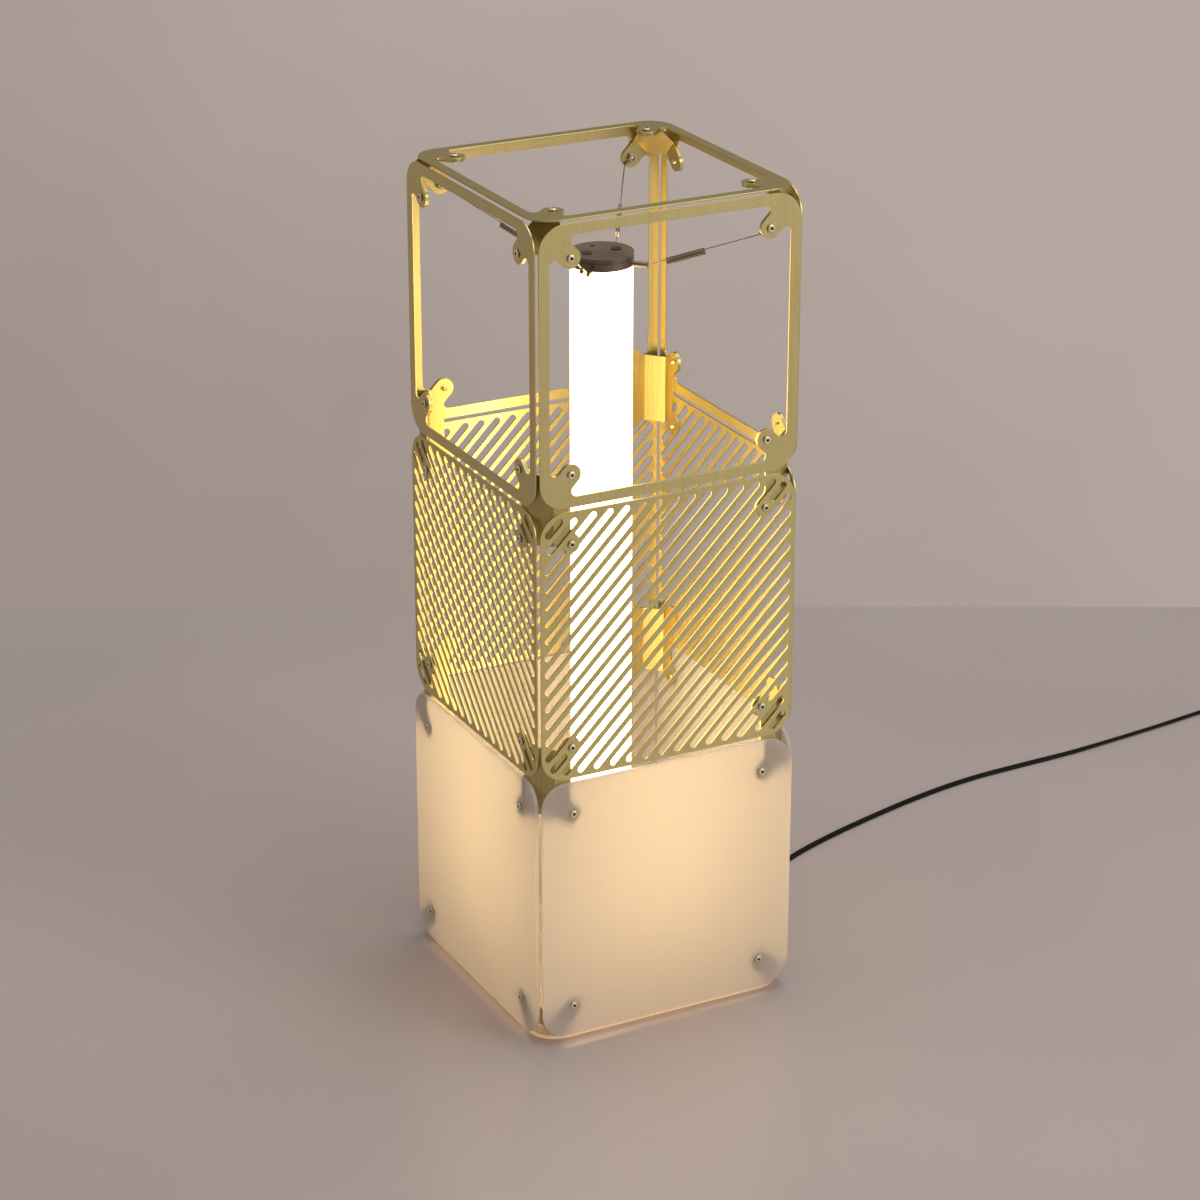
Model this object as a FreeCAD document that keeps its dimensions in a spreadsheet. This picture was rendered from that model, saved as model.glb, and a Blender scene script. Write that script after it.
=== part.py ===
import FreeCAD, Part
import math
import os
import Sketcher
from types import SimpleNamespace

from FreeCAD import Placement, Rotation, Vector

# Column floor lamp: three square sheet-metal and acrylic cells stacked into a column around a
# hanging light tube.  Millimetres, +Z up, origin on the floor at the middle of the column.
# The front of the lamp looks along -Y, its left side along -X.

SIZES = [
    ("column_width", 250.0, "across the outer faces of two opposite metal panels"),
    ("panel_corner_radius", 23.0, "rounded outer corners of a panel"),
    ("joint_gap", 3.5, "gap between the panels of two stacked cells"),
    ("edge_setback", 1.5, "panel edge to the plane of the next bracket face"),
    ("sheet", 1.5, "thickness of the metal panels"),
    ("acrylic", 3.5, "thickness of the frosted panels and the base"),
    ("screw_inset", 29.0, "panel edge to the middle of its screw"),
    ("rail_width", 9.4, "rail of an open frame"),
    ("ear_radius", 9.2, "round ear of an open frame, and half the width of its neck"),
    ("ear_fillet", 5.0, "inner corner between a rail and an ear"),
    ("slot_width", 6.8, "slot of a slotted panel"),
    ("slot_pitch", 15.6, "slot to slot, measured along the panel edge"),
    ("slot_margin", 3.5, "panel edge to the round end of a slot"),
    ("slot_land", 7.6, "middle of a screw to the nearest end of a cut-short slot"),
    ("bracket_sheet", 2.0, "thickness of the corner brackets"),
    ("bracket_setback", 15.0, "cut-off corner of a junction bracket, along each face"),
    ("bracket_height", 62.0, "height of the slanted plate of a junction bracket"),
    ("wing_width", 30.0, "corner edge to the inner edge of a junction bracket's wing"),
    ("wing_fillet", 5.0, "inner corner between a wing and its tab"),
    ("tab_radius", 9.0, "round tab of a bracket, and half its width"),
    ("hub_reach", 20.3, "cut-off corner of a three-way bracket, along each axis"),
    ("foot_height", 2.5, "pad under the base"),
    ("foot_radius", 7.0, "pad under the base"),
    ("foot_inset", 43.0, "panel edge to the middle of a foot pad"),
    ("screw_radius", 2.0, "shank of a panel screw"),
    ("screw_length", 6.0, "shank of a panel screw, below its head"),
    ("head_radius", 3.5, "button head of a panel screw"),
    ("head_height", 2.0, "button head of a panel screw"),
    ("head_crown", 2.2, "flat top of the button head"),
    ("screw_play", 0.3, "radial play of a screw in a panel hole"),
    ("tube_radius", 27.0, "opal light tube, outside"),
    ("tube_wall", 2.5, "opal light tube"),
    ("tube_drop", 76.8, "underside of the roof to the top of the light tube"),
    ("tube_socket", 10.0, "depth of the light tube in the cup"),
    ("cap_skirt", 7.5, "side wall of the cap ring"),
    ("cap_lid", 3.4, "thickness of the cap lid"),
    ("cap_groove", 0.8, "depth and height of the groove under the lid"),
    ("cap_floor", 3.0, "thickness of the cap ring's floor on the tube"),
    ("cap_screw_spread", 14.0, "middle of the cap to each lid screw"),
    ("cap_screw_radius", 4.6, "head of a lid screw"),
    ("cap_screw_height", 0.6, "head of a lid screw"),
    ("cap_vent_radius", 2.1, "small hole in the lid"),
    ("barrel_radius", 2.5, "wire holder on the cap"),
    ("barrel_reach", 41.0, "middle of the cap to the tip of a wire holder"),
    ("barrel_rise", 2.0, "lower rim of the cap to the middle of a wire holder"),
    ("wire_radius", 0.5, "stay wire"),
    ("sleeve_length", 38.5, "crimped double sleeve on a stay wire"),
    ("sleeve_radius", 1.6, "each of the two bores of a sleeve, outside"),
    ("sleeve_offset", 20.0, "wire holder to the sleeve"),
    ("lug_radius", 4.6, "ring end of a stay wire"),
    ("lug_sheet", 1.2, "ring end of a stay wire"),
    ("lug_barrel", 4.6, "crimped neck of the ring end"),
    ("lug_neck_radius", 1.3, "crimped neck of the ring end"),
    ("nut_across", 7.0, "nut behind the ring end, across the flats"),
    ("nut_height", 2.2, "nut behind the ring end"),
    ("core_side", 16.0, "square aluminium bar inside the light tube"),
    ("core_bore", 5.0, "wiring bore of the bar"),
    ("board_width", 12.0, "light-emitting board on each face of the bar"),
    ("board_sheet", 1.4, "light-emitting board"),
    ("board_margin", 14.0, "end of the bar to the end of a board"),
    ("cup_radius", 34.0, "cup that holds the tube and the driver"),
    ("cup_wall", 2.0, "wall of the cup"),
    ("cup_flange", 8.0, "rim of the cup on the base"),
    ("cup_height", 56.0, "cup above the base"),
    ("collar_height", 14.0, "collar that closes the cup around the tube"),
    ("collar_play", 0.3, "radial play of the tube in its collar"),
    ("driver_radius", 26.0, "power supply in the cup"),
    ("driver_height", 28.0, "power supply in the cup"),
    ("cup_head_radius", 2.9, "head of a cup screw"),
    ("cup_head_height", 1.6, "head of a cup screw"),
    ("cord_radius", 2.7, "mains cord"),
    ("lead_radius", 1.8, "inner lead from the driver to the outlet"),
    ("outlet_height", 24.0, "middle of the cord outlet above the floor"),
    ("outlet_side", 60.0, "cord outlet, from the middle of its panel"),
    ("outlet_radius", 6.0, "hole of the cord outlet"),
    ("flange_radius", 8.5, "flange of the strain relief"),
    ("flange_sheet", 2.5, "flange of the strain relief"),
    ("relief_length", 30.0, "tapered strain relief outside the panel"),
    ("relief_root", 5.2, "thick end of the strain relief"),
    ("relief_tip", 3.7, "thin end of the strain relief"),
    ("coil_turns", 3.0, "turns in each of the coil's two layers"),
    ("coil_middle_radius", 31.5, "middle of the turns of the coil"),
    ("coil_step", 5.95, "turn to turn, across the coil"),
    ("coil_layer", 6.1, "layer to layer of the coil"),
    ("plug_width", 35.0, "mains plug"),
    ("plug_height", 14.0, "mains plug"),
    ("plug_length", 34.0, "mains plug, without its pins"),
    ("plug_taper", 12.0, "rear end of the plug, across"),
    ("plug_tail", 36.0, "last turn of the coil to the plug"),
    ("plug_shoulder", 21.0, "rear end of the plug to its full width"),
    ("plug_edge", 2.5, "rounded upright edges of the plug"),
    ("pin_radius", 2.0, "plug pin"),
    ("pin_length", 19.0, "plug pin"),
    ("pin_spread", 19.0, "pin to pin"),
]

HALF = math.sqrt(0.5)          # cosine and sine of 45 degrees
SLOT_END_FACETS = 4
SCREW_HEAD_FACETS = 12
SCREW_SHANK_FACETS = 6
CORD_FACETS = 8
UP = Vector(0, 0, 1)
CORNERS = [("front_left", 0), ("front_right", 90), ("back_right", 180), ("back_left", 270)]
SIDES = [("front", 0), ("right", 90), ("back", 180), ("left", 270)]

doc = FreeCAD.newDocument("column_lamp")
sheet = doc.addObject("Spreadsheet::Sheet", "Sizes")
nodes = []


class Size:
    """A length with the expression that gives it from the cells of the sheet."""

    def __init__(self, value, text):
        self.value = float(value)
        self.text = text

    def __add__(self, other):
        other = as_size(other)
        return Size(self.value + other.value, f"({self.text} + {other.text})")

    def __sub__(self, other):
        other = as_size(other)
        return Size(self.value - other.value, f"({self.text} - {other.text})")

    def __mul__(self, other):
        other = as_size(other)
        return Size(self.value * other.value, f"({self.text} * {other.text})")

    def __truediv__(self, other):
        other = as_size(other)
        return Size(self.value / other.value, f"({self.text} / {other.text})")

    def __neg__(self):
        return Size(-self.value, f"(-1 * {self.text})")

    __radd__ = __add__
    __rmul__ = __mul__

    def __rsub__(self, other):
        return as_size(other) - self


def as_size(number):
    return number if isinstance(number, Size) else Size(number, f"{number:.9g}")


def fill_sheet():
    """Writes one row per size and gives back the sizes by name."""
    sizes = SimpleNamespace()
    for row, (name, value, meaning) in enumerate(SIZES, start=1):
        sheet.set(f"A{row}", name)
        sheet.set(f"B{row}", f"{value:g}")
        sheet.set(f"C{row}", meaning)
        sheet.setAlias(f"B{row}", name)
        setattr(sizes, name, Size(value, f"Sizes.{name}"))
    doc.recompute()
    return sizes


s = fill_sheet()

# Levels and distances that more than one piece shares.
face_plane = s.column_width / 2 - s.sheet                 # outer face of every bracket
panel_half = face_plane - s.edge_setback
screw_reach = panel_half - s.screw_inset                  # panel middle to its screws
cell_pitch = panel_half * 2 + s.joint_gap
base_underside = s.foot_height
base_top = base_underside + s.acrylic
first_cell = base_top + s.edge_setback                    # lower edge of the frosted panels
cell_middle = [first_cell + panel_half + cell_pitch * n for n in range(3)]
junction_level = [middle + cell_pitch / 2 for middle in cell_middle[:2]]
roof_plane = cell_middle[2] + panel_half + s.edge_setback
screw_from_edge = face_plane - screw_reach                # screw to the corner edge, sideways
screw_from_joint = s.screw_inset + s.joint_gap / 2        # screw to the joint, upwards
panel_hole = s.screw_radius + s.screw_play


# ---------------------------------------------------------------- sketches and bodies


def bind(target, name, size):
    """Ties a property, or a named constraint of a sketch, to the sheet."""
    target.setExpression(name, size.text)


def pin_point(geometry, position, x, y):
    """Two constraints that fix a point of a sketch by its coordinates, each with its size."""
    across = Sketcher.Constraint("DistanceX", -1, 1, geometry, position, x.value)
    upward = Sketcher.Constraint("DistanceY", -1, 1, geometry, position, y.value)
    return [(across, x), (upward, y)]


def constrain(sketch, tied, loose=()):
    """Adds constraints: tied ones come with the size they follow, loose ones have none."""
    numbers = sketch.addConstraint([constraint for constraint, _ in tied] + list(loose))
    for number, (_, size) in zip(numbers, tied):
        bind(sketch, f"Constraints[{number}]", size)


def arc_centre(start, end, radius):
    """Middle of the short arc from start to end; a positive radius turns left, a negative right."""
    chord = end - start
    rise = math.sqrt(max(radius * radius - chord.Length ** 2 / 4, 0.0))
    left = Vector(-chord.y, chord.x, 0) / chord.Length
    return (start + end) / 2 + left * math.copysign(rise, radius)


def draw_outline(sketch, corners):
    """Closed outline: each corner is (x, y) or (x, y, arc), where arc is the radius of the edge
    that leaves it, as a Size, with a turn of +1 to the left or -1 to the right."""
    first = sketch.GeometryCount
    points = [Vector(as_size(c[0]).value, as_size(c[1]).value, 0) for c in corners]
    count = len(corners)
    starts = []
    for n, corner in enumerate(corners):
        start, end = points[n], points[(n + 1) % count]
        if len(corner) == 2:
            sketch.addGeometry(Part.LineSegment(start, end), False)
            starts.append((1, 2))
            continue
        radius, turn = corner[2], corner[3]
        centre = arc_centre(start, end, radius.value * turn)
        angles = [math.atan2(p.y - centre.y, p.x - centre.x) for p in (start, end)]
        if turn < 0:
            angles.reverse()
        circle = Part.Circle(centre, UP, radius.value)
        sketch.addGeometry(Part.ArcOfCircle(circle, angles[0], angles[1]), False)
        starts.append((1, 2) if turn > 0 else (2, 1))
    tied, joints = [], []
    for n, corner in enumerate(corners):
        here, after = first + n, first + (n + 1) % count
        ends = (here, starts[n][1], after, starts[(n + 1) % count][0])
        joints.append(Sketcher.Constraint("Coincident", *ends))
        tied += pin_point(here, starts[n][0], as_size(corner[0]), as_size(corner[1]))
        if len(corner) > 2:
            tied.append((Sketcher.Constraint("Radius", here, corner[2].value), corner[2]))
    constrain(sketch, tied, joints)


def draw_circle(sketch, x, y, radius):
    x, y = as_size(x), as_size(y)
    number = sketch.addGeometry(Part.Circle(Vector(x.value, y.value, 0), UP, radius.value), False)
    size = (Sketcher.Constraint("Radius", number, radius.value), radius)
    constrain(sketch, pin_point(number, 3, x, y) + [size])


def new_body(label):
    body = doc.addObject("PartDesign::Body", label)
    body.Label = label
    return body


def new_sketch(body, name, plane):
    sketch = body.newObject("Sketcher::SketchObject", f"{body.Name}_{name}")
    planes = {feature.Role: feature for feature in body.Origin.OriginFeatures}
    sketch.AttachmentSupport = [(planes[plane], "")]
    sketch.MapMode = "FlatFace"
    return sketch


def pad(body, sketch, length, both_ways=False):
    feature = body.newObject("PartDesign::Pad", f"{body.Name}_pad")
    feature.Profile = sketch
    feature.Length = length.value
    bind(feature, "Length", length)
    feature.Midplane = both_ways
    return feature


def pocket(body, sketch, length):
    """Cuts the sketch through the body, on both sides of its plane."""
    feature = body.newObject("PartDesign::Pocket", f"{body.Name}_pocket")
    feature.Profile = sketch
    feature.Length = length.value
    bind(feature, "Length", length)
    feature.Midplane = True
    return feature


def revolve(body, sketch):
    """Turns the sketch once round the body's Z axis."""
    feature = body.newObject("PartDesign::Revolution", f"{body.Name}_turn")
    feature.Profile = sketch
    axes = {part.Role: part for part in body.Origin.OriginFeatures}
    feature.ReferenceAxis = (axes["Z_Axis"], [""])
    feature.Angle = 360.0
    return feature


def keep(item, placement=None):
    """Places a finished sub-part and lists it as a node."""
    if placement is not None:
        item.Placement = placement
    nodes.append(item)
    return item


def keep_copy(label, source, placement):
    """A further piece of the same make: it follows its source, in its own place."""
    item = doc.addObject("Part::Compound", label)
    item.Label = label
    item.Links = [source]
    return keep(item, placement)


def keep_shape(label, shape, placement=None):
    """A sub-part worked out directly from the sizes."""
    item = doc.addObject("Part::Feature", label)
    item.Label = label
    item.Shape = shape
    return keep(item, placement)


# ---------------------------------------------------------------- outlines


def rounded_square(half, radius):
    """Square of half-width half with round corners, anticlockwise."""
    near = half - radius
    return [
        (half, -near), (half, near, radius, 1),
        (near, half), (-near, half, radius, 1),
        (-half, near), (-half, -near, radius, 1),
        (-near, -half), (near, -half, radius, 1),
    ]


def eared_window():
    """Opening of a frame: straight rails, and in each corner an ear round the screw."""
    rail = panel_half - s.rail_width
    neck = s.ear_radius * HALF
    fillet_middle = rail - s.ear_radius * math.sqrt(2) - s.ear_fillet * (1 + math.sqrt(2))
    on_neck = (fillet_middle + s.ear_fillet * HALF, rail - s.ear_fillet * (1 + HALF))
    quarter = [
        (rail, fillet_middle, s.ear_fillet, 1),
        (on_neck[1], on_neck[0]),
        (screw_reach + neck, screw_reach - neck, s.ear_radius, -1),
        (screw_reach - neck, screw_reach - neck, s.ear_radius, -1),
        (screw_reach - neck, screw_reach + neck),
        (on_neck[0], on_neck[1], s.ear_fillet, 1),
        (fillet_middle, rail),
    ]
    corners = []
    for turn in range(4):
        for corner in quarter:
            x, y = as_size(corner[0]), as_size(corner[1])
            for _ in range(turn):
                x, y = -y, x
            corners.append((x, y) + tuple(corner[2:]))
    return corners


def draw_panel_holes(sketch, radius):
    for x in (-screw_reach, screw_reach):
        for y in (-screw_reach, screw_reach):
            draw_circle(sketch, x, y, radius)


# ---------------------------------------------------------------- places


def wall_placement(turn, inner_face, level):
    """A panel drawn flat, stood up on one side of the column with its back at inner_face."""
    stand = Placement(Vector(0, -inner_face.value, level.value), Rotation(Vector(1, 0, 0), 90))
    return Placement(Vector(), Rotation(UP, turn)).multiply(stand)


def corner_placement(turn, level):
    """Corner of the column: the local X and Y axes run inwards along the two bracket faces."""
    corner = Placement(Vector(-face_plane.value, -face_plane.value, level.value), Rotation())
    return Placement(Vector(), Rotation(UP, turn)).multiply(corner)


# ---------------------------------------------------------------- panels


def build_frame():
    """Open frame cut from one sheet, with an ear for each corner screw."""
    body = new_body("frame_blank")
    sketch = new_sketch(body, "outline", "XY_Plane")
    draw_outline(sketch, rounded_square(panel_half, s.panel_corner_radius))
    draw_outline(sketch, eared_window())
    draw_panel_holes(sketch, panel_hole)
    pad(body, sketch, s.sheet)
    return body


def build_plate(label, thickness, extra_holes=()):
    """Plain square panel with four screw holes."""
    body = new_body(label)
    sketch = new_sketch(body, "outline", "XY_Plane")
    draw_outline(sketch, rounded_square(panel_half, s.panel_corner_radius))
    draw_panel_holes(sketch, panel_hole)
    for x, y, radius in extra_holes:
        draw_circle(sketch, x, y, radius)
    pad(body, sketch, thickness)
    return body


def slot_prism(start, end):
    """Slot between two end centres, deeper than the sheet on both sides.  Its round ends have
    few facets, because each panel has some thirty slots."""
    along = (end - start).normalize() * (s.slot_width.value / 2)
    rim = []
    for centre, first_turn in ((end, -90), (start, 90)):
        for n in range(SLOT_END_FACETS + 1):
            turn = Rotation(UP, first_turn + 180 * n / SLOT_END_FACETS)
            rim.append(centre + turn.multVec(along))
    face = Part.Face(Part.makePolygon(rim + rim[:1]))
    face.translate(UP * -s.sheet.value)
    return face.extrude(UP * (3 * s.sheet.value))


def slot_reach(across):
    """Half-length of the slot centre line that crosses the other diagonal at across."""
    field = panel_half.value - s.slot_margin.value - s.slot_width.value / 2
    corner = s.panel_corner_radius.value - s.slot_margin.value - s.slot_width.value / 2
    arc_middle = field - corner
    straight = math.sqrt(2) * field - abs(across)
    in_corner = corner ** 2 - across ** 2
    if in_corner > 0:
        straight = min(straight, math.sqrt(2) * arc_middle + math.sqrt(in_corner))
    beyond = abs(across) - math.sqrt(2) * arc_middle
    if beyond > 0:
        straight = min(straight, math.sqrt(max(corner ** 2 - beyond ** 2, 0.0)))
    return straight


def slots_of_panel():
    """End centres of every slot: parallel lines at 45 degrees, cut short at the four screws."""
    step = s.slot_pitch.value * HALF
    pull = s.slot_land.value + s.slot_width.value / 2
    screw = math.sqrt(2) * screw_reach.value
    last = int(math.sqrt(2) * panel_half.value / step)
    slots = []
    for number in range(-last, last + 1):
        across = number * step
        reach = slot_reach(across)
        if reach < s.slot_width.value:
            continue
        breaks = []
        if abs(across) < step / 2:
            breaks = [-screw, screw]
        elif abs(abs(across) - screw) < step / 2:
            breaks = [0.0]
        ends = [-reach]
        for place in breaks:
            ends += [place - pull, place + pull]
        ends.append(reach)
        for low, high in zip(ends[0::2], ends[1::2]):
            if high - low > 1.0:
                slots.append((low, high, across))
    return slots


def slot_cutter():
    """All the slots of one panel as one tool."""
    along, away = Vector(HALF, HALF, 0), Vector(HALF, -HALF, 0)
    prisms = []
    for low, high, across in slots_of_panel():
        prisms.append(slot_prism(along * low + away * across, along * high + away * across))
    tool = doc.addObject("Part::Feature", "slots")
    tool.Shape = Part.makeCompound(prisms)
    return tool


def cut_from(label, base, tool):
    cut = doc.addObject("Part::Cut", label)
    cut.Label = label
    cut.Base = base
    cut.Tool = tool
    return cut


def build_panels():
    frame = build_frame()
    slotted = cut_from("slotted_sheet", build_plate("slotted_blank", s.sheet), slot_cutter())
    frosted = build_plate("frosted_blank", s.acrylic)
    outlet = (s.outlet_side, s.outlet_height - cell_middle[0], s.outlet_radius)
    quarter_turn = Placement(Vector(), Rotation(UP, 90))
    for side, turn in SIDES:
        keep_copy(f"upper_frame_{side}", frame, wall_placement(turn, face_plane, cell_middle[2]))
        middle = wall_placement(turn, face_plane, cell_middle[1])
        # Seen from outside, the front slots rise to the right and those of the other sides fall.
        slotted_place = middle if side == "front" else middle.multiply(quarter_turn)
        keep_copy(f"slotted_panel_{side}", slotted, slotted_place)
        place = wall_placement(turn, face_plane, cell_middle[0])
        if side == "right":
            keep(build_plate("frosted_panel_right", s.acrylic, [outlet]), place)
        else:
            keep_copy(f"frosted_panel_{side}", frosted, place)
    keep_copy("top_frame", frame, Placement(Vector(0, 0, roof_plane.value), Rotation()))
    build_base_panel(frosted)


# ---------------------------------------------------------------- brackets


def build_junction_bracket():
    """Bent sheet that joins two cells at a corner: a slanted plate between two wings, and on
    each wing two tabs that reach out at 45 degrees to the screws of the cells."""
    body = new_body("junction_bracket")
    reach = screw_from_edge + s.tab_radius
    top = screw_from_joint + s.tab_radius
    inner = s.bracket_setback + s.bracket_sheet * math.tan(math.pi / 8)
    section = new_sketch(body, "section", "XY_Plane")
    draw_outline(section, [
        (as_size(0), reach), (as_size(0), s.bracket_setback),
        (s.bracket_setback, as_size(0)), (reach, as_size(0)),
        (reach, s.bracket_sheet), (inner, s.bracket_sheet),
        (s.bracket_sheet, inner), (s.bracket_sheet, reach),
    ])
    pad(body, section, top * 2, both_ways=True)
    for plane in ("XZ_Plane", "YZ_Plane"):
        sketch = new_sketch(body, f"wing_{plane[:2].lower()}", plane)
        draw_wing_cut(sketch, reach, top)
        pocket(body, sketch, reach * 3)
    return body


def draw_wing_cut(sketch, reach, top):
    """Everything round one wing that the punch takes away, and the wing's two screw holes."""
    half = s.bracket_height / 2
    neck = s.tab_radius * HALF
    lean = screw_from_joint - screw_from_edge
    shoulder = half - lean - s.tab_radius * math.sqrt(2)
    turn_in = math.tan(math.pi / 8)
    waist = s.wing_width + lean - s.tab_radius * math.sqrt(2)
    fillet = s.wing_fillet
    upper = [
        (shoulder, half),
        (screw_from_edge - neck, screw_from_joint + neck, s.tab_radius, -1),
        (screw_from_edge + neck, screw_from_joint + neck, s.tab_radius, -1),
        (screw_from_edge + neck, screw_from_joint - neck),
        (s.wing_width + fillet * turn_in * HALF, waist + fillet * turn_in * HALF, fillet, 1),
        (s.wing_width, waist - fillet * turn_in),
    ]
    lower = [
        (s.wing_width, -(waist - fillet * turn_in), fillet, 1),
        (s.wing_width + fillet * turn_in * HALF, -(waist + fillet * turn_in * HALF)),
        (screw_from_edge + neck, -(screw_from_joint - neck), s.tab_radius, -1),
        (screw_from_edge + neck, -(screw_from_joint + neck), s.tab_radius, -1),
        (screw_from_edge - neck, -(screw_from_joint + neck)),
        (shoulder, -half),
    ]
    outside, beyond = reach * 1.2, top * 1.2
    frame = [
        (s.bracket_sheet, -half), (s.bracket_sheet, -beyond), (outside, -beyond),
        (outside, beyond), (s.bracket_sheet, beyond), (s.bracket_sheet, half),
    ]
    draw_outline(sketch, upper + lower + frame)
    for side in (1, -1):
        draw_circle(sketch, screw_from_edge, screw_from_joint * side, s.screw_radius)


def three_way_shape():
    """Bent sheet for a corner where three panels meet: a six-sided plate square to the corner's
    diagonal, and a tab folded from every second edge onto each of the three faces."""
    sheet_size = s.bracket_sheet.value
    reach = s.hub_reach.value
    radius = s.tab_radius.value
    screw = screw_from_edge.value
    spread = radius * HALF
    near = [Vector(reach + spread, reach - spread, 0), Vector(reach - spread, reach + spread, 0)]
    far = [Vector(screw - spread, screw + spread, 0), Vector(screw + spread, screw - spread, 0)]
    tip = Vector(screw + spread, screw + spread, 0)
    edges = [
        Part.LineSegment(near[0], near[1]).toShape(),
        Part.LineSegment(near[1], far[0]).toShape(),
        Part.Arc(far[0], tip, far[1]).toShape(),
        Part.LineSegment(far[1], near[0]).toShape(),
    ]
    tab = Part.Face(Part.Wire(edges)).extrude(UP * sheet_size)
    middle = Vector(screw, screw, 0)
    tab = tab.cut(Part.makeCylinder(s.screw_radius.value, 3 * sheet_size, middle - UP * sheet_size))
    spin = Vector(1, 1, 1)
    tabs = []
    rim = []
    for turn in (0, 120, 240):
        tabs.append(tab.rotated(Vector(), spin, turn))
        rim += [Rotation(spin, turn).multVec(point) for point in near]
    plate = Part.Face(Part.makePolygon(rim + rim[:1])).extrude(spin.normalize() * sheet_size)
    return plate.fuse(tabs).removeSplitter()


def build_brackets():
    junction = build_junction_bracket()
    three_way = three_way_shape()
    flip = Placement(Vector(), Rotation(Vector(1, 1, 0), 180))
    for corner, turn in CORNERS:
        roof = corner_placement(turn, roof_plane)
        keep_shape(f"top_bracket_{corner}", three_way.copy(), roof.multiply(flip))
        keep_copy(f"upper_bracket_{corner}", junction, corner_placement(turn, junction_level[1]))
        keep_copy(f"lower_bracket_{corner}", junction, corner_placement(turn, junction_level[0]))
        keep_shape(f"base_bracket_{corner}", three_way.copy(), corner_placement(turn, base_top))


# ---------------------------------------------------------------- screws and feet


def rim_of(radius, height, facets):
    """Closed regular outline inside a circle about Z."""
    spoke = Vector(radius, 0, 0)
    points = [Rotation(UP, 360 * n / facets).multVec(spoke) + UP * height for n in range(facets)]
    return Part.makePolygon(points + points[:1])


def faceted(low_radius, low, high_radius, high, facets):
    """Prism or frustum with flat sides.  The many screws have few faces each."""
    rims = [rim_of(low_radius, low, facets), rim_of(high_radius, high, facets)]
    return Part.makeLoft(rims, True, True)


def screw_shank(top):
    radius = s.screw_radius.value
    return faceted(radius, -s.screw_length.value, radius, top, SCREW_SHANK_FACETS)


def panel_screw():
    """Button head screw: head above Z = 0, shank below it."""
    sizes = s.head_radius.value, 0, s.head_crown.value, s.head_height.value
    return screw_shank(0).fuse(faceted(*sizes, SCREW_HEAD_FACETS))


def base_screw():
    """Countersunk screw: its head lies level with Z = 0, its shank below it."""
    depth = s.head_radius.value - s.screw_radius.value
    sizes = s.screw_radius.value, -depth, s.head_radius.value, 0
    return screw_shank(-depth).fuse(faceted(*sizes, SCREW_HEAD_FACETS))


def four_points(half):
    return [Vector(x, y, 0) for x in (-half, half) for y in (-half, half)]


def group_on_walls(shape, thickness, levels):
    """Copies of a screw on the four sides of the column, in one group."""
    solids = []
    for level in levels:
        for _, turn in SIDES:
            wall = wall_placement(turn, face_plane + thickness, level)
            for point in four_points(screw_reach.value):
                copy = shape.copy()
                copy.Placement = wall.multiply(Placement(point, Rotation()))
                solids.append(copy)
    return Part.makeCompound(solids)


def build_fasteners():
    screw = panel_screw()
    keep_shape("upper_frame_screws", group_on_walls(screw, s.sheet, [cell_middle[2]]))
    keep_shape("slotted_panel_screws", group_on_walls(screw, s.sheet, [cell_middle[1]]))
    keep_shape("frosted_panel_screws", group_on_walls(screw, s.acrylic, [cell_middle[0]]))
    roof = [screw.translated(point) for point in four_points(screw_reach.value)]
    above = Placement(Vector(0, 0, (roof_plane + s.sheet).value), Rotation())
    keep_shape("top_frame_screws", Part.makeCompound(roof), above)
    sunk = base_screw().rotated(Vector(), Vector(1, 0, 0), 180)
    under = [sunk.translated(point) for point in four_points(screw_reach.value)]
    below = Placement(Vector(0, 0, base_underside.value), Rotation())
    keep_shape("base_panel_screws", Part.makeCompound(under), below)
    foot = Part.makeCylinder(s.foot_radius.value, s.foot_height.value)
    feet = [foot.translated(point) for point in four_points((panel_half - s.foot_inset).value)]
    keep_shape("feet", Part.makeCompound(feet))


def build_base_panel(plate):
    """Base: the same plate lying flat, countersunk from below for its four flush screws."""
    depth = s.head_radius.value - s.screw_radius.value
    cone = Part.makeCone(s.head_radius.value, s.screw_radius.value, depth)
    tool = doc.addObject("Part::Feature", "countersinks")
    tool.Shape = Part.makeCompound([cone.translated(p) for p in four_points(screw_reach.value)])
    place = Placement(Vector(0, 0, base_underside.value), Rotation())
    keep(cut_from("base_panel", plate, tool), place)


# ---------------------------------------------------------------- light tube and its cap

tube_top = roof_plane - s.tube_drop
cup_rim = base_top + s.cup_height
tube_bottom = cup_rim - s.tube_socket
cap_radius = s.tube_radius + s.cap_groove
cap_seat = tube_top + s.cap_floor                          # where the lid lies on the ring
cap_bottom = cap_seat - s.cap_skirt                        # lower rim of the cap ring
barrel_level = cap_bottom + s.barrel_rise


def build_revolved(label, corners, placement=None):
    """Turned piece from a half profile of (radius, height) corners."""
    body = new_body(label)
    sketch = new_sketch(body, "profile", "XZ_Plane")
    draw_outline(sketch, corners)
    revolve(body, sketch)
    return keep(body, placement)


def build_light():
    inside = s.tube_radius - s.tube_wall
    build_revolved("diffuser_tube", [
        (inside, tube_bottom), (s.tube_radius, tube_bottom),
        (s.tube_radius, tube_top), (inside, tube_top),
    ])
    length = tube_top - tube_bottom
    core = doc.addObject("Part::Box", "core_bar")
    for name, size in (("Length", s.core_side), ("Width", s.core_side), ("Height", length)):
        bind(core, name, size)
    place_box(core, -(s.core_side / 2), -(s.core_side / 2), tube_bottom)
    bore = doc.addObject("Part::Cylinder", "core_wiring_bore")
    bind(bore, "Radius", s.core_bore)
    bind(bore, "Height", length)
    bind(bore, "Placement.Base.z", tube_bottom)
    bar = doc.addObject("Part::Cut", "led_core")
    bar.Base, bar.Tool = core, bore
    keep(bar)
    build_boards(length)


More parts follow.
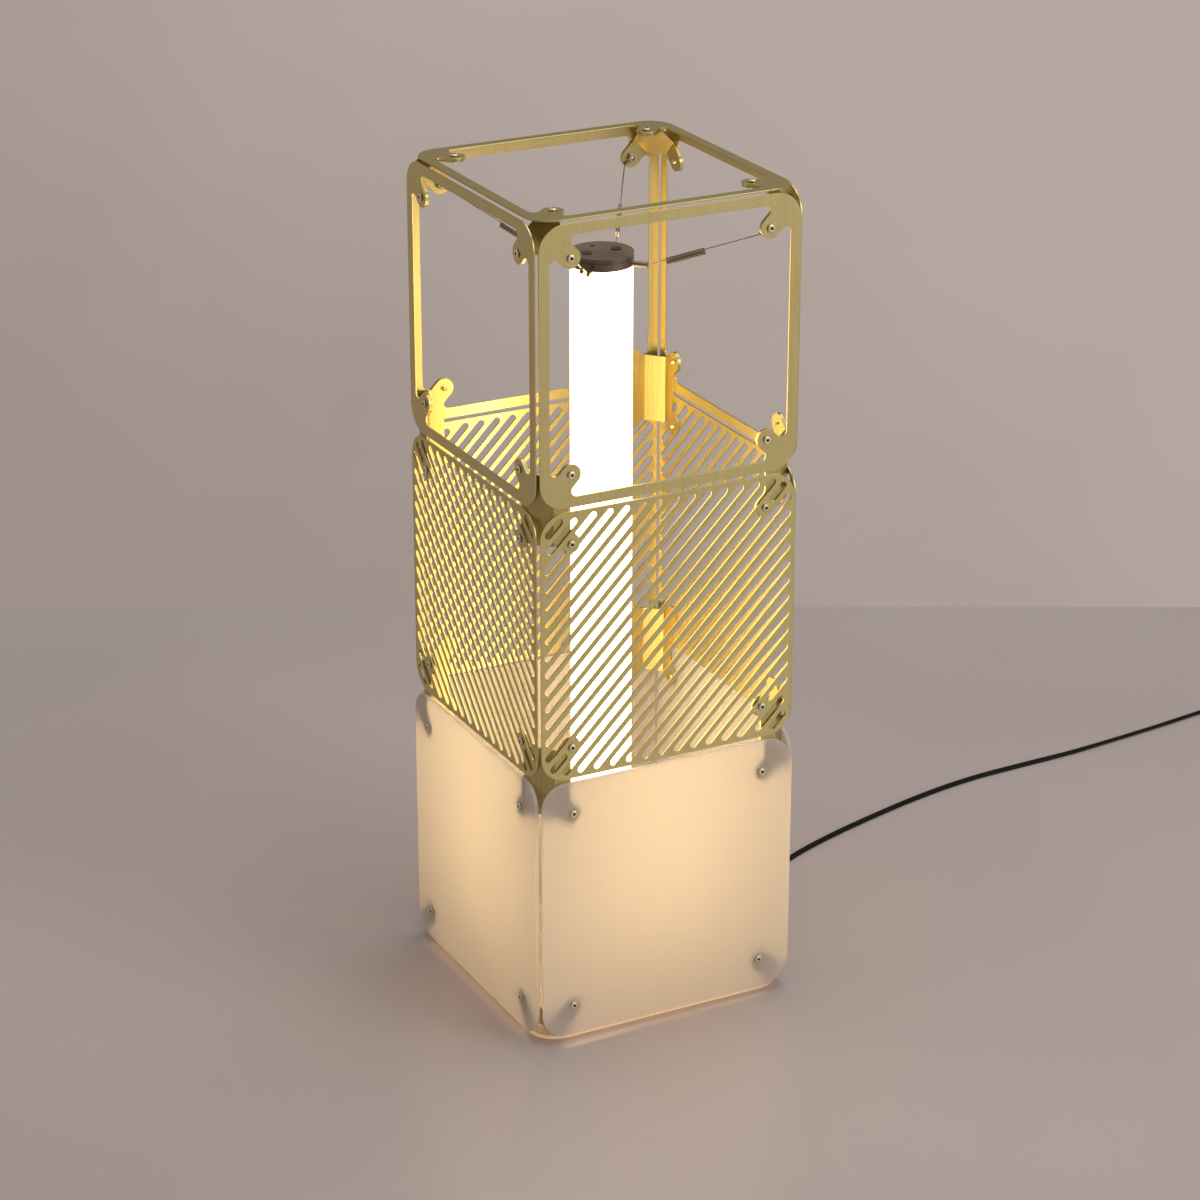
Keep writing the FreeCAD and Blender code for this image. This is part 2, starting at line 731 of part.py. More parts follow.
def place_box(box, x, y, z):
    for axis, size in (("x", x), ("y", y), ("z", z)):
        bind(box, f"Placement.Base.{axis}", size)


def build_boards(length):
    """One strip of light-emitting board on each face of the bar, in one group."""
    height = length.value - 2 * s.board_margin.value
    width = s.board_width.value
    low = Vector(-width / 2, s.core_side.value / 2, tube_bottom.value + s.board_margin.value)
    board = Part.makeBox(width, s.board_sheet.value, height, low)
    strips = [board.rotated(Vector(), UP, turn) for _, turn in SIDES]
    keep_shape("led_boards", Part.makeCompound(strips))


def build_cap():
    """Dark cap on the tube: a ring with a floor, and a lid held by two screws."""
    wall = s.tube_radius
    groove = cap_seat - s.cap_groove
    zero = as_size(0)
    build_revolved("cap_ring", [
        (zero, tube_top), (wall, tube_top), (wall, cap_bottom), (cap_radius, cap_bottom),
        (cap_radius, groove), (wall, groove), (wall, cap_seat), (zero, cap_seat),
    ])
    lid = new_body("cap_lid")
    sketch = new_sketch(lid, "outline", "XY_Plane")
    draw_circle(sketch, 0, 0, cap_radius)
    draw_circle(sketch, 0, s.cap_screw_spread + s.cap_vent_radius, s.cap_vent_radius)
    pad(lid, sketch, s.cap_lid)
    keep(lid, Placement(Vector(0, 0, cap_seat.value), Rotation()))
    head = Part.makeCylinder(s.cap_screw_radius.value, s.cap_screw_height.value)
    level = UP * (cap_seat + s.cap_lid).value
    heads = [head.translated(level + Vector(side * s.cap_screw_spread.value, 0, 0)) for side in (-1, 1)]
    keep_shape("cap_screws", Part.makeCompound(heads))
    barrels = [wire_barrel().rotated(Vector(), UP, 45 + turn) for _, turn in SIDES]
    keep_shape("wire_barrels", Part.makeCompound(barrels))


def wire_barrel():
    """Round holder along +X, cut to lie against the ring below the groove."""
    length = s.barrel_reach.value - s.tube_radius.value
    start = Vector(s.tube_radius.value, 0, barrel_level.value)
    barrel = Part.makeCylinder(s.barrel_radius.value, length, start, Vector(1, 0, 0))
    ring_level = barrel_level.value - s.cap_skirt.value
    return barrel.cut(Part.makeCylinder(cap_radius.value, 2 * s.cap_skirt.value, UP * ring_level))


# ---------------------------------------------------------------- stay wires

# Each wire runs from its holder on the cap to a ring end behind a screw of the nearest
# upper corner: on the front face for the front corners, on the back face for the back ones.

NUT_CLEARANCE = 0.15


def wire_ends(x_side, y_side):
    """The two ends of a stay wire, and the direction from the cap to the corner."""
    tip = Vector(x_side, y_side, 0) * (s.barrel_reach.value * HALF) + UP * barrel_level.value
    behind = (face_plane - s.bracket_sheet - s.lug_neck_radius).value
    screw = Vector(x_side * screw_reach.value, y_side * behind, (cell_middle[2] + screw_reach).value)
    inward = Vector(tip.x - screw.x, 0, tip.z - screw.z).normalize()
    lug_end = screw + inward * (s.lug_radius + s.lug_barrel).value
    return tip, lug_end, screw, inward


def sleeve_shape(start, end):
    """Flat double sleeve crimped on a wire: two round bores side by side."""
    along = (end - start).normalize()
    side = along.cross(Vector(-along.y, along.x, 0)).normalize()
    place = start + along * s.sleeve_offset.value
    radius, length = s.sleeve_radius.value, s.sleeve_length.value
    lower = Part.makeCylinder(radius, length, place, along)
    upper = Part.makeCylinder(radius, length, place - side * (2 * radius - 0.3), along)
    bore = Part.makeCylinder(s.wire_radius.value, length, place, along)
    return lower.fuse(upper).cut(bore)


def lug_shape(screw, inward, y_side):
    """Ring end that lies on the bracket, with a crimped neck that points towards the cap."""
    across = Vector(0, -y_side, 0)
    on_tab = screw - across * s.lug_neck_radius.value
    hole = Part.makeCylinder(s.screw_radius.value, s.lug_sheet.value, on_tab, across)
    ring = Part.makeCylinder(s.lug_radius.value, s.lug_sheet.value, on_tab, across).cut(hole)
    root = nut_corner() + NUT_CLEARANCE
    length = (s.lug_radius + s.lug_barrel).value - root
    neck = Part.makeCylinder(s.lug_neck_radius.value, length, screw + inward * root, inward)
    return ring.fuse(neck)


def nut_corner():
    return s.nut_across.value / math.sqrt(3)


def nut_shape(screw, y_side):
    """Six-sided nut on the screw, against the ring end."""
    turn = Rotation(Vector(1, 0, 0), 90 * y_side)
    start = screw - Vector(0, -y_side, 0) * (s.lug_neck_radius - s.lug_sheet).value
    prism = Part.Face(rim_of(nut_corner(), 0, 6)).extrude(UP * s.nut_height.value)
    bore = Part.makeCylinder(s.screw_radius.value, s.nut_height.value)
    nut = prism.cut(bore)
    nut.Placement = Placement(start, turn)
    return nut


def build_wires():
    sleeves, lugs, nuts = [], [], []
    sides = {"front_left": (-1, -1), "front_right": (1, -1), "back_right": (1, 1), "back_left": (-1, 1)}
    for corner, (x_side, y_side) in sides.items():
        tip, lug_end, screw, inward = wire_ends(x_side, y_side)
        lug = lug_shape(screw, inward, y_side)
        run = lug_end - tip
        wire = Part.makeCylinder(s.wire_radius.value, run.Length, tip, run)
        turn = math.degrees(math.atan2(y_side, x_side))
        wire = wire.cut(wire_barrel().rotated(Vector(), UP, turn)).cut(lug)
        keep_shape(f"stay_wire_{corner}", wire)
        sleeves.append(sleeve_shape(tip, lug_end))
        lugs.append(lug)
        nuts.append(nut_shape(screw, y_side))
    keep_shape("wire_sleeves", Part.makeCompound(sleeves))
    keep_shape("wire_lugs", Part.makeCompound(lugs))
    keep_shape("lug_nuts", Part.makeCompound(nuts))


# ---------------------------------------------------------------- cup and driver in the base


def build_base_unit():
    """Cup screwed to the base: it holds the driver, and a collar on top holds the tube."""
    zero = as_size(0)
    floor_level = base_top + s.cup_wall
    rim = cup_rim
    inside = s.cup_radius - s.cup_wall
    build_revolved("base_cup", [
        (zero, base_top), (s.cup_radius + s.cup_flange, base_top),
        (s.cup_radius + s.cup_flange, floor_level), (s.cup_radius, floor_level),
        (s.cup_radius, rim), (inside, rim), (inside, floor_level), (zero, floor_level),
    ])
    bore = s.tube_radius + s.collar_play
    seat = rim - s.collar_height
    build_revolved("tube_collar", [
        (zero, seat), (inside, seat), (inside, rim), (s.cup_radius, rim),
        (s.cup_radius, rim + s.cup_wall), (bore, rim + s.cup_wall), (bore, tube_bottom),
        (zero, tube_bottom),
    ])
    build_revolved("driver", [
        (zero, floor_level), (s.driver_radius, floor_level),
        (s.driver_radius, floor_level + s.driver_height), (zero, floor_level + s.driver_height),
    ])
    ring = s.cup_radius.value + s.cup_flange.value / 2
    radius = s.cup_head_radius.value
    screw = faceted(radius, 0, radius, s.cup_head_height.value, SCREW_HEAD_FACETS)
    screws = [
        screw.translated(Vector(ring * math.cos(angle), ring * math.sin(angle), floor_level.value))
        for angle in (math.pi * (2 * n + 1) / 4 for n in range(4))
    ]
    keep_shape("cup_screws", Part.makeCompound(screws))


# ---------------------------------------------------------------- mains cord

outlet_face = face_plane + s.acrylic                       # outside of the right frosted panel
relief_end = outlet_face + s.flange_sheet + s.relief_length


def build_strain_relief():
    """Moulded strain relief: snap-in plug, flange, and a tapered sleeve round the cord."""
    place = Placement(Vector(0, s.outlet_side.value, s.outlet_height.value), Rotation(Vector(0, 1, 0), 90))
    flange_end = outlet_face + s.flange_sheet
    inner = face_plane - s.bracket_sheet
    build_revolved("strain_relief", [
        (0, inner), (s.outlet_radius, inner), (s.outlet_radius, outlet_face),
        (s.flange_radius, outlet_face), (s.flange_radius, flange_end), (s.relief_root, flange_end),
        (s.relief_tip, relief_end), (0, relief_end),
    ], place)


def inner_lead_points():
    """Route of the lead inside the base, from the cup to the strain relief."""
    wall = Vector(s.cup_radius.value, 0, s.outlet_height.value)
    middle = Vector((s.cup_radius.value + face_plane.value) / 2, s.outlet_side.value * 0.5, s.outlet_height.value)
    end = Vector(face_plane.value - s.bracket_sheet.value, s.outlet_side.value, s.outlet_height.value)
    straight = Vector(s.lead_radius.value * 8, 0, 0)
    return [wall, wall + straight, middle, end - straight, end]


# Points that the cord's route is drawn towards, on the floor unless a height is given.
lie = s.cord_radius.value + 0.05
CORD_ROUTE = [
    (relief_end.value, s.outlet_side.value, s.outlet_height.value),
    (184.0, s.outlet_side.value, s.outlet_height.value),
    (220.0, 75.0, lie),
    (264.0, 98.5, lie),
    (318.0, 119.0, lie),
    (374.0, 136.0, lie),
    (438.0, 153.5, lie),
    (508.0, 166.5, lie),
    (574.0, 169.5, lie),
    (634.0, 171.0, lie),
    (694.0, 177.5, lie),
    (757.0, 184.5, lie),
    (818.0, 193.5, lie),
]
COIL_JOIN = Vector(908.0, 203.0, 0)                        # where the coil's first turn begins
COIL_START = math.radians(96.0)                            # seen from the middle of the coil
COIL_LEAD = 36.0                                           # straight run into the first turn


def rounded_path(points, share=0.45, name=""):
    """Straight runs joined by tangent arcs, each as large as its two runs allow; prints radii."""
    radii = []
    edges = []
    start = points[0]
    for before, corner, after in zip(points, points[1:], points[2:]):
        arriving, leaving = (corner - before), (after - corner)
        shorter = min(arriving.Length, leaving.Length)
        turn = arriving.getAngle(leaving)
        cut = share * shorter
        radii.append(cut / math.tan(turn / 2))
        arriving.normalize()
        leaving.normalize()
        first, second = corner - arriving * cut, corner + leaving * cut
        inward = (leaving - arriving).normalize()
        middle = corner + inward * (radii[-1] / math.cos(turn / 2) - radii[-1])
        edges.append(Part.LineSegment(start, first).toShape())
        edges.append(Part.Arc(first, middle, second).toShape())
        start = second
    edges.append(Part.LineSegment(start, points[-1]).toShape())
    print(name, "bend radii", ", ".join(f"{radius:.0f}" for radius in radii))
    return Part.Wire(edges)


def tube_along(wire, radius, name):
    """Faceted cord along a smooth wire; its volume is compared with section times length."""
    edge = wire.OrderedEdges[0]
    start = edge.valueAt(edge.FirstParameter)
    direction = edge.tangentAt(edge.FirstParameter)
    ring = rim_of(radius, 0, CORD_FACETS)
    ring.Placement = Placement(start, Rotation(UP, direction))
    solid = wire.makePipeShell([ring], True, False)
    expected = Part.Face(ring).Area * wire.Length
    print(name, f"length {wire.Length:.1f}", f"volume ratio {solid.Volume / expected:.4f}")
    return solid


def biarc(start, start_way, end, end_way):
    """Two tangent arcs from start to end that leave and arrive in the given directions."""
    gap = end - start
    ways = start_way + end_way
    blend = 2 * (1 - start_way.dot(end_way))
    along = gap.dot(ways)
    reach = gap.dot(gap) / (2 * along)
    if blend > 1e-9:
        reach = (-along + math.sqrt(along ** 2 + blend * gap.dot(gap))) / blend
    knot = (start + start_way * reach + end - end_way * reach) / 2
    arcs = []
    for point, way, other in ((start, start_way, knot), (end, -end_way, knot)):
        chord = other - point
        angle = way.getAngle(chord)
        bulge = (way - chord * (way.dot(chord) / chord.dot(chord))).normalize()
        middle = (point + other) / 2 + bulge * (chord.Length / 2 * math.tan(angle / 2))
        ends = (point, middle, other) if point is start else (other, middle, point)
        arcs.append(Part.Arc(*ends).toShape())
    return arcs


def coil_point(turn):
    """Middle of the cord after so many turns: in along the floor, up, and out on top."""
    turns, step = s.coil_turns.value, s.coil_step.value
    outer = s.coil_middle_radius.value + step * turns / 2
    climb = min(max(turn - turns + 0.25, 0.0), 0.5) / 0.5
    inward = min(turn, turns)
    outward = max(turn - turns, 0.0)
    radius = outer - step * inward + step * outward
    height = lie + s.coil_layer.value * (3 * climb ** 2 - 2 * climb ** 3)
    angle = COIL_START - 2 * math.pi * turn
    return COIL_MIDDLE + Vector(radius * math.cos(angle), radius * math.sin(angle), height)


coil_outer = s.coil_middle_radius.value + s.coil_step.value * s.coil_turns.value / 2
COIL_MIDDLE = COIL_JOIN - Vector(math.cos(COIL_START), math.sin(COIL_START), 0) * coil_outer


def coil_way(turn):
    """Direction of the cord in the coil."""
    nudge = 1e-4
    return (coil_point(turn + nudge) - coil_point(turn - nudge)).normalize()


def plug_place():
    """The plug lies on the floor beyond the coil, in line with its last turn."""
    end, way = coil_point(2 * s.coil_turns.value), coil_way(2 * s.coil_turns.value)
    start = end + way * s.plug_tail.value
    start.z = s.plug_height.value / 2
    return Placement(start, Rotation(Vector(1, 0, 0), Vector(way.x, way.y, 0)))


def coil_wire():
    """Both layers as quarter-turn biarcs, then the tail that comes down to the plug."""
    quarters = int(round(8 * s.coil_turns.value))
    edges = []
    for n in range(quarters):
        low, high = n / 4, (n + 1) / 4
        edges += biarc(coil_point(low), coil_way(low), coil_point(high), coil_way(high))
    end, way = coil_point(quarters / 4), coil_way(quarters / 4)
    place = plug_place()
    edges += biarc(end, way, place.Base, place.Rotation.multVec(Vector(1, 0, 0)))
    return Part.Wire(edges)


def least_gap(wire, diameter):
    """Smallest clear distance between turns, measured on points along the wire."""
    points = wire.discretize(Number=700)
    spacing = wire.Length / 699
    skip = int(3 * diameter / spacing)
    best = 1e9
    for n, point in enumerate(points):
        for other in points[n + skip:]:
            best = min(best, (other - point).Length)
    return best - diameter


def plug_solid():
    """Flat two-pin plug: a wide face that narrows to the cord."""
    width, height, length = s.plug_width.value / 2, s.plug_height.value / 2, s.plug_length.value
    narrow, shoulder = s.plug_taper.value / 2, s.plug_shoulder.value
    outline = [
        Vector(0, -narrow, 0), Vector(shoulder, -width, 0), Vector(length, -width, 0),
        Vector(length, width, 0), Vector(shoulder, width, 0), Vector(0, narrow, 0),
    ]
    body = Part.Face(Part.makePolygon(outline + outline[:1])).extrude(UP * (2 * height))
    upright = [edge for edge in body.Edges if abs(edge.tangentAt(edge.FirstParameter).z) > 0.99]
    return body.makeFillet(s.plug_edge.value, upright).translated(UP * -height)


def build_cord():
    lead = rounded_path(inner_lead_points(), name="inner lead")
    keep_shape("inner_lead", tube_along(lead, s.lead_radius.value, "inner lead"))
    radius = s.cord_radius.value
    join, way = coil_point(0.0), coil_way(0.0)
    points = [Vector(*point) for point in CORD_ROUTE] + [join - way * COIL_LEAD, join]
    keep_shape("cord_run", tube_along(rounded_path(points, name="cord"), radius, "cord run"))
    coil = coil_wire()
    keep_shape("cord_coil", tube_along(coil, radius, "cord coil"))
    print("coil least gap", f"{least_gap(coil, 2 * radius):.2f}")


def build_plug():
    """Plug with two round pins."""
    place = plug_place()
    keep_shape("plug_body", plug_solid(), place)
    pins = []
    for side in (-1, 1):
        start = Vector(s.plug_length.value, side * s.pin_spread.value / 2, 0)
        pins.append(Part.makeCylinder(s.pin_radius.value, s.pin_length.value, start, Vector(1, 0, 0)))
    keep_shape("plug_pins", Part.makeCompound(pins), place)


# ---------------------------------------------------------------- build, check and write


def check(item):
    """Stops if a sub-part failed, is empty or is not valid."""
    if "Invalid" in item.State or "Error" in item.State:
        raise RuntimeError(f"{item.Label} did not compute: {item.State}")
    if item.Shape.isNull() or not item.Shape.isValid() or item.Shape.Volume <= 0:
        raise RuntimeError(f"{item.Label} has no valid shape")


def main():
    build_panels()
    build_brackets()
    build_fasteners()
    build_light()
    build_cap()
    build_wires()
    build_base_unit()
    build_strain_relief()
    build_cord()
    build_plug()
    doc.recompute()
    for item in doc.Objects:
        if "Invalid" in item.State or "Error" in item.State:
            raise RuntimeError(f"{item.Label} did not compute: {item.State}")
    os.makedirs("parts", exist_ok=True)
    for item in nodes:
        check(item)
    for item in nodes:
        item.Shape.exportStep(f"parts/{item.Label}.step")
    print(len(nodes), "sub-parts written")


main()
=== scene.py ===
"""Column floor lamp: three stacked square cells of brass-toned sheet and frosted acrylic around a
glowing opal tube.  Lengths are in millimetres until they are put into a mesh.  The finishes'
patterns and depths and the lights are in metres."""

import math

import bpy
import numpy as np
from mathutils import Matrix, Vector


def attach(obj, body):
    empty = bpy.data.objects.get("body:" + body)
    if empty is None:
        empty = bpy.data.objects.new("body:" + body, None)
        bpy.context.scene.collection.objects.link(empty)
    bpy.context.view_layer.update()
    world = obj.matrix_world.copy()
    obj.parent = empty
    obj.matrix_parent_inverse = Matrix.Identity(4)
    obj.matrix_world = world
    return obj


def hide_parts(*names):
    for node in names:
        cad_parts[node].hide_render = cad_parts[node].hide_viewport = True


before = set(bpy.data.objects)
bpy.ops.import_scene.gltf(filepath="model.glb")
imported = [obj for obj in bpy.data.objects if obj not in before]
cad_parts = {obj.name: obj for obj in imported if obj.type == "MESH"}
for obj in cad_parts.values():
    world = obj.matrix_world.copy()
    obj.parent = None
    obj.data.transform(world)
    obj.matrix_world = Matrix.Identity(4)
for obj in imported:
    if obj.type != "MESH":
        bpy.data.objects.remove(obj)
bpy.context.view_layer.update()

MM = 0.001
FACE = 123.5            # outer face of the brackets, from the middle of the column
PANEL = 122.0           # half the side of a panel
CORNER = 23.0           # radius of a panel's rounded corner
SCREW = 93.0            # panel middle to a screw, both ways
SCREW_HOLE = 2.3        # radius of the hole round a screw
RAIL = 9.4              # width of an open frame's rails
SHEET = 1.5
ACRYLIC = 3.5
SHEET_EDGE = 0.18       # small radius of the metal sheets' edges
ACRYLIC_EDGE = 0.35     # and of the acrylic's
LEVELS = {"frosted": 129.5, "slotted": 377.0, "open": 624.5}    # middles of the cells' panels
ROOF = 748.0            # underside of the roof frame
BASE = 2.5              # underside of the base sheet
OUTLET = (60.0, 24.0)   # middle of the cord's outlet: along the right panel, and above the floor
SIDES = {"front": 0, "right": 90, "back": 180, "left": 270}     # turn about the column, in degrees


# ------------------------------------------------------------------ outlines as numpy arrays


def arc(centre, radius, start, end, steps):
    """Points centre + radius (cos a, sin a), with a running evenly from start to end degrees."""
    a = np.radians(np.linspace(start, end, steps + 1))
    return np.array(centre) + radius * np.stack([np.cos(a), np.sin(a)], 1)


def four_corners(quarter):
    """A quarter outline and its turns by 90, 180 and 270 degrees, end to end."""
    turned = [quarter]
    for _ in range(3):
        last = turned[-1]
        turned.append(np.stack([-last[:, 1], last[:, 0]], 1))
    return np.concatenate(turned)


def rounded_square(half, radius, steps=10):
    """Square with sides of twice half, and a quarter circle of the radius at each corner."""
    near = half - radius
    return four_corners(arc((near, near), radius, 0, 90, steps))


def hole(x, y, radius, steps=20):
    """Full circle about (x, y), without the last point, which is the first one again."""
    return arc((x, y), radius, 0, 360, steps)[:-1]


def screw_holes():
    """The four holes of a panel, one near each corner."""
    return [hole(x, y, SCREW_HOLE) for x in (-SCREW, SCREW) for y in (-SCREW, SCREW)]


def eared_window():
    """Inside edge of an open frame: straight rails joined by an ear round each screw.  Each ear
    is a half circle of 9.2 about the screw, and fillets of 5 lead from it into the rails."""
    ear, fillet, rail = 9.2, 5.0, PANEL - RAIL
    centre = rail - fillet * (1 + math.sqrt(2)) - ear * math.sqrt(2)
    inner = rail - fillet
    quarter = [
        arc((inner, centre), fillet, 0, 135, 9),
        arc((SCREW, SCREW), ear, -45, -225, 14),
        arc((centre, inner), fillet, -45, 90, 9),
    ]
    return four_corners(np.concatenate(quarter))


def slot_ends():
    """Slots along (1, 1): start and end along the line, and the line's distance from the middle.
    There is one every 15.6 along a panel's edge.  A line stops where the rounded field inside
    the margin ends, and a slot's round end keeps 7.6 of land from the middle of a screw."""
    step, radius, margin, land = 15.6 / math.sqrt(2), 3.4, 3.5, 7.6
    field, bend = PANEL - margin - radius, CORNER - margin - radius
    knee = math.sqrt(2) * (field - bend)
    screw = math.sqrt(2) * SCREW
    found = []
    for number in range(-15, 16):
        across = number * step
        reach = math.sqrt(2) * field - abs(across)
        if abs(across) < bend:
            reach = min(reach, knee + math.sqrt(bend**2 - across**2))
        if abs(across) > knee:
            reach = min(reach, math.sqrt(max(bend**2 - (abs(across) - knee) ** 2, 0)))
        if reach < 2 * radius:
            continue
        breaks = [-screw, screw] if number == 0 else []
        if abs(abs(across) - screw) < step / 2:
            breaks = [0.0]
        ends = [-reach]
        for place in breaks:
            ends += [place - land - radius, place + land + radius]
        ends.append(reach)
        found += [(a, b, across) for a, b in zip(ends[::2], ends[1::2]) if b - a > 1]
    return found, radius


def slot_outlines(rising):
    """Each slot is two half circles about its ends, turned to lie at 45 degrees.  Seen from
    outside, the slots of the front rise to the right and those of the other sides fall."""
    found, radius = slot_ends()
    outlines = []
    for low, high, across in found:
        flat = np.concatenate([
            arc((high, -across), radius, -90, 90, 8), arc((low, -across), radius, 90, 270, 8),
        ])
        risen = (flat @ np.array([[1, 1], [-1, 1]])) / math.sqrt(2)
        outlines.append(risen if rising else np.stack([-risen[:, 1], risen[:, 0]], 1))
    return outlines


# ------------------------------------------------------------------ meshes


def mesh_from(name, points, faces, smooth=False):
    """Makes a piece of points in millimetres and of faces that hold their points' numbers."""
    mesh = bpy.data.meshes.new(name)
    mesh.from_pydata((np.asarray(points) * MM).tolist(), [], faces)
    mesh.validate()
    if smooth:
        mesh.polygons.foreach_set("use_smooth", [True] * len(mesh.polygons))
    piece = bpy.data.objects.new(name, mesh)
    bpy.context.collection.objects.link(piece)
    return piece


def sheet_from(name, loops, thickness, edge, place, back_side=-1):
    """Flat sheet: the first loop is its outside, the others are its holes.  A flat curve fills
    them, gives the sheet its thickness and rounds its edges, and becomes a mesh at its place.
    The flat face on the back side, -1 for below and 1 for above, takes the second material."""
    curve = bpy.data.curves.new(name, "CURVE")
    curve.dimensions = "2D"
    curve.fill_mode = "BOTH"
    for loop in loops:
        spline = curve.splines.new("POLY")
        spline.points.add(len(loop) - 1)
        flat = np.c_[loop * MM, np.zeros(len(loop)), np.ones(len(loop))]
        spline.points.foreach_set("co", flat.ravel())
        spline.use_cyclic_u = True
    curve.extrude = (thickness / 2 - edge) * MM
    curve.bevel_depth = edge * MM
    curve.bevel_resolution = 1
    curve.offset = -edge * MM
    holder = bpy.data.objects.new(name, curve)
    bpy.context.collection.objects.link(holder)
    mesh = bpy.data.meshes.new_from_object(holder)
    bpy.data.objects.remove(holder)
    normals = np.empty(len(mesh.polygons) * 3)
    mesh.polygons.foreach_get("normal", normals)
    facing = normals.reshape(-1, 3)[:, 2]
    mesh.polygons.foreach_set("material_index", (facing * back_side > 0.9).astype(int).tolist())
    mesh.transform(place @ Matrix.Translation((0, 0, thickness / 2 * MM)))
    mesh.name = name
    piece = bpy.data.objects.new(name, mesh)
    bpy.context.collection.objects.link(piece)
    return piece


def wall_place(side, level):
    """Stands a flat sheet up on one side of the column, with its back on the brackets and its
    middle at the level."""
    turn = Matrix.Rotation(math.radians(SIDES[side]), 4, "Z")
    back = Matrix.Translation((0, -FACE * MM, level * MM))
    return turn @ back @ Matrix.Rotation(math.radians(90), 4, "X")


def flat_place(level):
    """Leaves a flat sheet lying, with its underside at the level."""
    return Matrix.Translation((0, 0, level * MM))


def lathe(profile, around):
    """Surface of revolution with closed ends.  A ring of the profile is a radius r, a height
    and a share k of hexagon, for sockets: at angle a the ring lies at
    r (1 - k + k cos 30 / cos(a from the middle of the nearest flat))."""
    a = np.linspace(0, 2 * math.pi, around, endpoint=False)
    from_flat = (a + math.pi / 6) % (math.pi / 3) - math.pi / 6
    rings = []
    for radius, height, hexed in profile:
        r = radius * (1 - hexed + hexed * math.cos(math.pi / 6) / np.cos(from_flat))
        rings.append(np.stack([r * np.cos(a), r * np.sin(a), np.full(around, height)], 1))
    grid = np.concatenate(rings)
    i, j = np.meshgrid(np.arange(len(profile) - 1), np.arange(around), indexing="ij")
    after = (j + 1) % around
    quads = np.stack([i * around + j, i * around + after, (i + 1) * around + after,
                      (i + 1) * around + j], -1).reshape(-1, 4)
    ends = [list(range(around))[::-1], [len(grid) - around + k for k in range(around)]]
    return grid, quads.tolist() + ends


def placed(grid, place):
    """Points in millimetres carried by a matrix whose shift is in metres."""
    m = np.array(place)
    return grid @ m[:3, :3].T + m[:3, 3] / MM


def many(name, grid, faces, places, second):
    """One piece made of the same small shape at many places.  Faces of the shape whose number
    is in second take the second material."""
    points, polygons = [], []
    for n, place in enumerate(places):
        points.append(placed(grid, place))
        polygons += [[v + n * len(grid) for v in face] for face in faces]
    piece = mesh_from(name, np.concatenate(points), polygons, True)
    index = [int(number in second) for number in range(len(faces))] * len(places)
    piece.data.polygons.foreach_set("material_index", index)
    return piece


# ------------------------------------------------------------------ materials


def colour(code):
    """sRGB hex to linear RGBA."""
    c = np.array([int(code[i:i + 2], 16) for i in (1, 3, 5)]) / 255
    c = np.where(c <= 0.04045, c / 12.92, ((c + 0.055) / 1.055) ** 2.4)
    return (*c.tolist(), 1.0)


def add(owner, kind, settings=None, inputs=None):
    """Adds a node to a material or a world; a value that is another node's output is linked."""
    tree = owner.node_tree
    node = tree.nodes.new(kind)
    for key, value in (settings or {}).items():
        setattr(node, key, value)
    for key, value in (inputs or {}).items():
        if isinstance(value, bpy.types.NodeSocket):
            tree.links.new(value, node.inputs[key])
        else:
            node.inputs[key].default_value = value
    return node


def new_material(name):
    """A material whose node tree is still empty."""
    material = bpy.data.materials.new(name)
    material.use_nodes = True
    material.node_tree.nodes.clear()
    return material


def finish_material(material, shader):
    """Leads the shader into the material's output."""
    output = add(material, "ShaderNodeOutputMaterial")
    material.node_tree.links.new(shader.outputs[0], output.inputs["Surface"])
    return material


def ramp(owner, factor, stops):
    """Tone that runs through the stops, each a place from 0 to 1 and a hex colour or a grey."""
    node = add(owner, "ShaderNodeValToRGB", inputs={"Fac": factor})
    elements = node.color_ramp.elements
    while len(elements) < len(stops):
        elements.new(0.5)
    for element, (place, code) in zip(elements, stops):
        element.position = place
        element.color = colour(code) if isinstance(code, str) else (code, code, code, 1)
    return node.outputs["Color"]


# A finish's noise scale counts marks per metre: 1500 are two thirds of a millimetre apart, 900
# a little over a millimetre, 25 are 40 mm apart, and 14 are 70 mm apart.  Real grit is finer,
# and these are as coarse as shows in the render.


def brushed(name, pale, deep, roughness, grain):
    """Brushed sheet with a brass-toned coating: the belt leaves straight scratches, close
    together across the grain and some centimetres long, which spread the highlight across
    them, and the coating's tone drifts slowly over about 110 mm."""
    m = new_material(name)
    place = add(m, "ShaderNodeTexCoord")
    stretch = add(m, "ShaderNodeMapping", inputs={"Vector": place.outputs["Object"], "Scale": grain})
    lines = add(m, "ShaderNodeTexNoise", inputs={
        "Vector": stretch.outputs[0], "Scale": 1.0, "Detail": 3.0, "Roughness": 0.6})
    cloud = add(m, "ShaderNodeTexNoise", inputs={
        "Vector": place.outputs["Object"], "Scale": 9.0, "Detail": 2.0})
    both = add(m, "ShaderNodeMath", {"operation": "MULTIPLY_ADD"},
               {0: cloud.outputs["Fac"], 1: 0.35, 2: lines.outputs["Fac"]})
    tone = ramp(m, both.outputs[0], [(0.35, deep), (0.95, pale)])
    rough = ramp(m, lines.outputs["Fac"], [(0.25, roughness - 0.06), (0.75, roughness + 0.08)])
    bump = add(m, "ShaderNodeBump", inputs={
        "Strength": 0.10, "Distance": 0.0003, "Height": lines.outputs["Fac"]})
    shader = add(m, "ShaderNodeBsdfPrincipled", inputs={
        "Base Color": tone, "Metallic": 1.0, "Roughness": rough, "Normal": bump.outputs[0]})
    return finish_material(m, shader)


